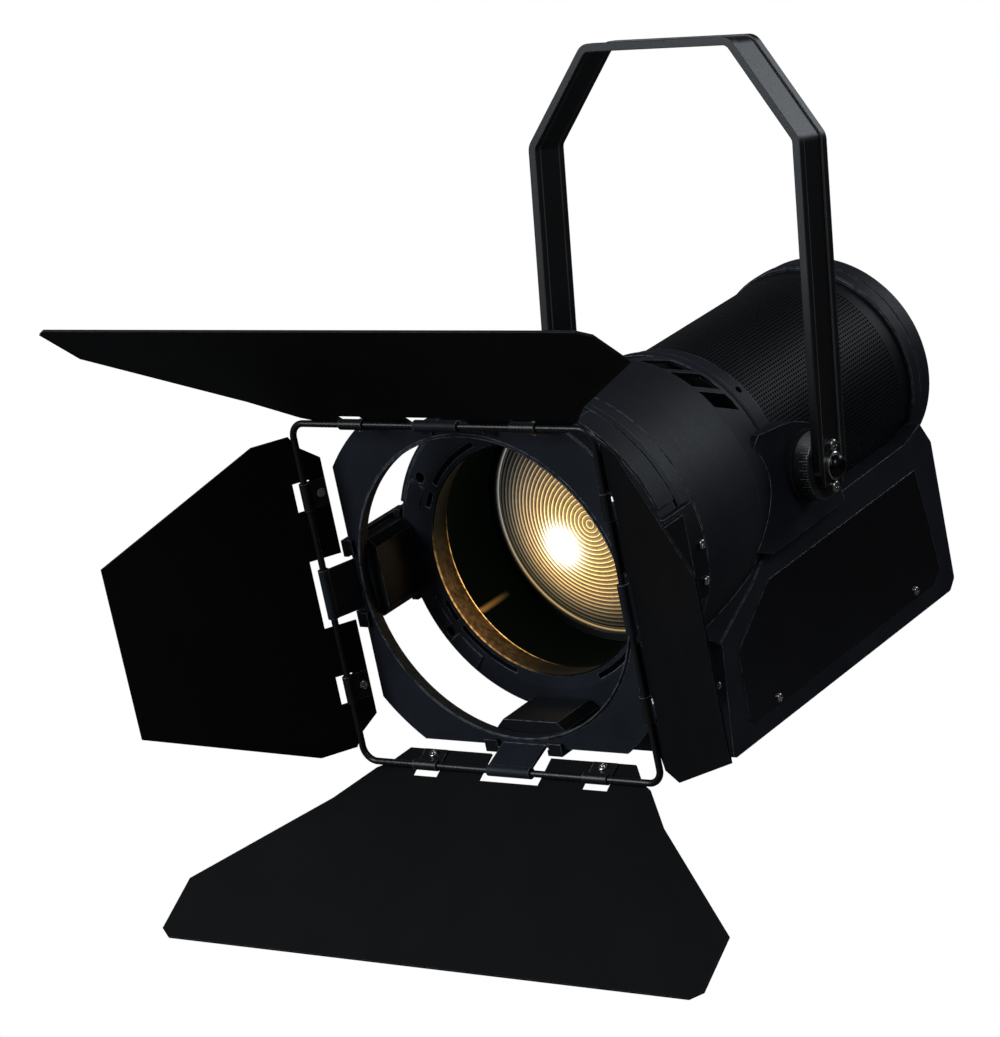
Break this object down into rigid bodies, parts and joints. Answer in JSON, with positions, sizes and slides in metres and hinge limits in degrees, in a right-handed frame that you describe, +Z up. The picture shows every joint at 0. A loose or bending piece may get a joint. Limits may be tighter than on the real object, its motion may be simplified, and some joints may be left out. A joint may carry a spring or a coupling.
{
  "type": "fresnel spotlight",
  "caption": "Yoke-mounted focusing LED fresnel spotlight with a perforated cooling cylinder, electronics base and hinged barndoor leaves.",
  "frame": {"origin": "centre of the yoke's top mounting hole", "axes": "+Z up along the hole, lamp looks along -Y, +X to the lamp's side that carries the tilt scale"},
  "size_m": [0.3965, 0.5611, 0.4918],
  "materials": {
    "yoke_paint": "satin black powder coat",
    "body_paint": "fine-textured black powder coat",
    "leaf_paint": "matt black heat-resistant paint",
    "wire_paint": "semi-gloss black",
    "nickel": "nickel-plated screws",
    "black_zinc": "black oxide steel",
    "gold_liner": "warm bright anodised ring",
    "tube_black": "smooth black lacquer",
    "lens_glass": "pressed stepped glass",
    "aluminium": "bare aluminium",
    "steel": "ground steel",
    "led_yellow": "phosphor surface on a white carrier",
    "black_plastic": "moulded black plastic",
    "gloss_panel": "glossy black panel",
    "screen_paint": "perforated sheet, black",
    "fibre": "friction fibre",
    "rubber": "moulded rubber",
    "button_grey": "moulded grey plastic",
    "display": "tinted display window",
    "board": "green circuit board"
  },
  "bodies": {
    "yoke": {"yoke": "yoke_paint", "tilt_scale_disc": "black_plastic", "tilt_disc_left": "black_plastic", "disc_screws": "nickel"},
    "lamp": {"pivot_bolt": "black_zinc", "pivot_stud": "steel", "friction_washers": "fibre", "front_bezel": "body_paint", "opening_liner": "gold_liner", "lens_tube": "tube_black", "drum_housing": "body_paint", "drum_collar": "body_paint", "lug_right": "body_paint", "lug_left": "body_paint", "lug_bottom": "body_paint", "lug_screws": "nickel", "barndoor_ring": "body_paint", "barndoor_wire": "wire_paint", "guide_rods": "steel", "led_deck": "aluminium", "led_module": "led_yellow", "heat_sink": "aluminium", "fan_frame": "black_plastic", "perforated_screen": "screen_paint", "rear_cap": "body_paint", "chassis": "body_paint", "side_panel_right": "gloss_panel", "side_panel_left": "gloss_panel", "panel_screws": "nickel", "rear_panel": "black_plastic", "display_window": "display", "data_connectors": "black_plastic", "power_inlet": "black_plastic", "led_driver": "aluminium", "control_board": "board", "base_feet": "rubber"},
    "tilt_lock_knob": {"tilt_lock_knob": "black_plastic"},
    "top_latch": {"top_latch": "body_paint"},
    "lens_carriage": {"lens_carriage": "aluminium", "fresnel_lens": "lens_glass"},
    "focus_knob": {"focus_screw": "steel", "focus_knob": "black_plastic"},
    "fan_rotor": {"fan_rotor": "black_plastic"},
    "power_switch": {"power_switch": "black_plastic"},
    "leaf_right": {"leaf_right": "leaf_paint", "clips_right": "black_zinc", "clip_screws_right": "nickel"},
    "leaf_top": {"leaf_top": "leaf_paint", "clips_top": "black_zinc", "clip_screws_top": "nickel"},
    "leaf_left": {"leaf_left": "leaf_paint", "clips_left": "black_zinc", "clip_screws_left": "nickel"},
    "leaf_bottom": {"leaf_bottom": "leaf_paint", "clips_bottom": "black_zinc", "clip_screws_bottom": "nickel"},
    "menu_button_1": {"menu_button_1": "button_grey"},
    "menu_button_2": {"menu_button_2": "button_grey"},
    "menu_button_3": {"menu_button_3": "button_grey"},
    "menu_button_4": {"menu_button_4": "button_grey"}
  },
  "joints": [
    {"name": "tilt", "type": "hinge", "parent": "yoke", "child": "lamp", "pos_m": [0, 0, -0.253], "axis": [1, 0, 0], "range_deg": [-57, 78]},
    {"name": "tilt_lock", "type": "hinge", "parent": "lamp", "child": "tilt_lock_knob", "pos_m": [-0.11, 0, -0.253], "axis": [-1, 0, 0], "range_deg": [-360, 0]},
    {"name": "leaf_right_hinge", "type": "hinge", "parent": "lamp", "child": "leaf_right", "pos_m": [0.105, -0.2309, -0.29697], "axis": [0, 0.2079, -0.9781], "range_deg": [-37, 93]},
    {"name": "leaf_left_hinge", "type": "hinge", "parent": "lamp", "child": "leaf_left", "pos_m": [-0.105, -0.2309, -0.29697], "axis": [0, -0.2079, 0.9781], "range_deg": [-55, 75]},
    {"name": "leaf_top_hinge", "type": "hinge", "parent": "lamp", "child": "leaf_top", "pos_m": [0, -0.25273, -0.19426], "axis": [1, 0, 0], "range_deg": [-49, 51]},
    {"name": "leaf_bottom_hinge", "type": "hinge", "parent": "lamp", "child": "leaf_bottom", "pos_m": [0, -0.20907, -0.39967], "axis": [-1, 0, 0], "range_deg": [-61.5, 38.5]},
    {"name": "latch_hinge", "type": "hinge", "parent": "lamp", "child": "top_latch", "pos_m": [0, -0.16986, -0.18012], "axis": [-1, 0, 0], "range_deg": [0, 60]},
    {"name": "lens_focus", "type": "slide", "parent": "lamp", "child": "lens_carriage", "axis": [0, -0.9781, -0.2079], "range_m": [-0.01, 0.035]},
    {"name": "focus_turn", "type": "hinge", "parent": "lamp", "child": "focus_knob", "pos_m": [0, 0.17283, -0.27249], "axis": [0, -0.9781, -0.2079], "range_deg": [-300, 1050]},
    {"name": "fan_spin", "type": "hinge", "parent": "lamp", "child": "fan_rotor", "pos_m": [0, 0.10949, -0.22462], "axis": [0, 0.9781, 0.2079], "continuous": true},
    {"name": "menu_press_1", "type": "slide", "parent": "lamp", "child": "menu_button_1", "axis": [0, -0.9781, -0.2079], "range_m": [0, 0.0015], "stiffness_N_per_m": 400, "springref_m": -0.0008},
    {"name": "menu_press_2", "type": "slide", "parent": "lamp", "child": "menu_button_2", "axis": [0, -0.9781, -0.2079], "range_m": [0, 0.0015], "stiffness_N_per_m": 400, "springref_m": -0.0008},
    {"name": "menu_press_3", "type": "slide", "parent": "lamp", "child": "menu_button_3", "axis": [0, -0.9781, -0.2079], "range_m": [0, 0.0015], "stiffness_N_per_m": 400, "springref_m": -0.0008},
    {"name": "menu_press_4", "type": "slide", "parent": "lamp", "child": "menu_button_4", "axis": [0, -0.9781, -0.2079], "range_m": [0, 0.0015], "stiffness_N_per_m": 400, "springref_m": -0.0008},
    {"name": "power_rock", "type": "hinge", "parent": "lamp", "child": "power_switch", "pos_m": [0.047, 0.1702, -0.3347], "axis": [1, 0, 0], "range_deg": [0, 12]}
  ],
  "couplings": [
    {"joint": "focus_turn", "follows": "lens_focus", "rad_per_m": 523.6}
  ]
}
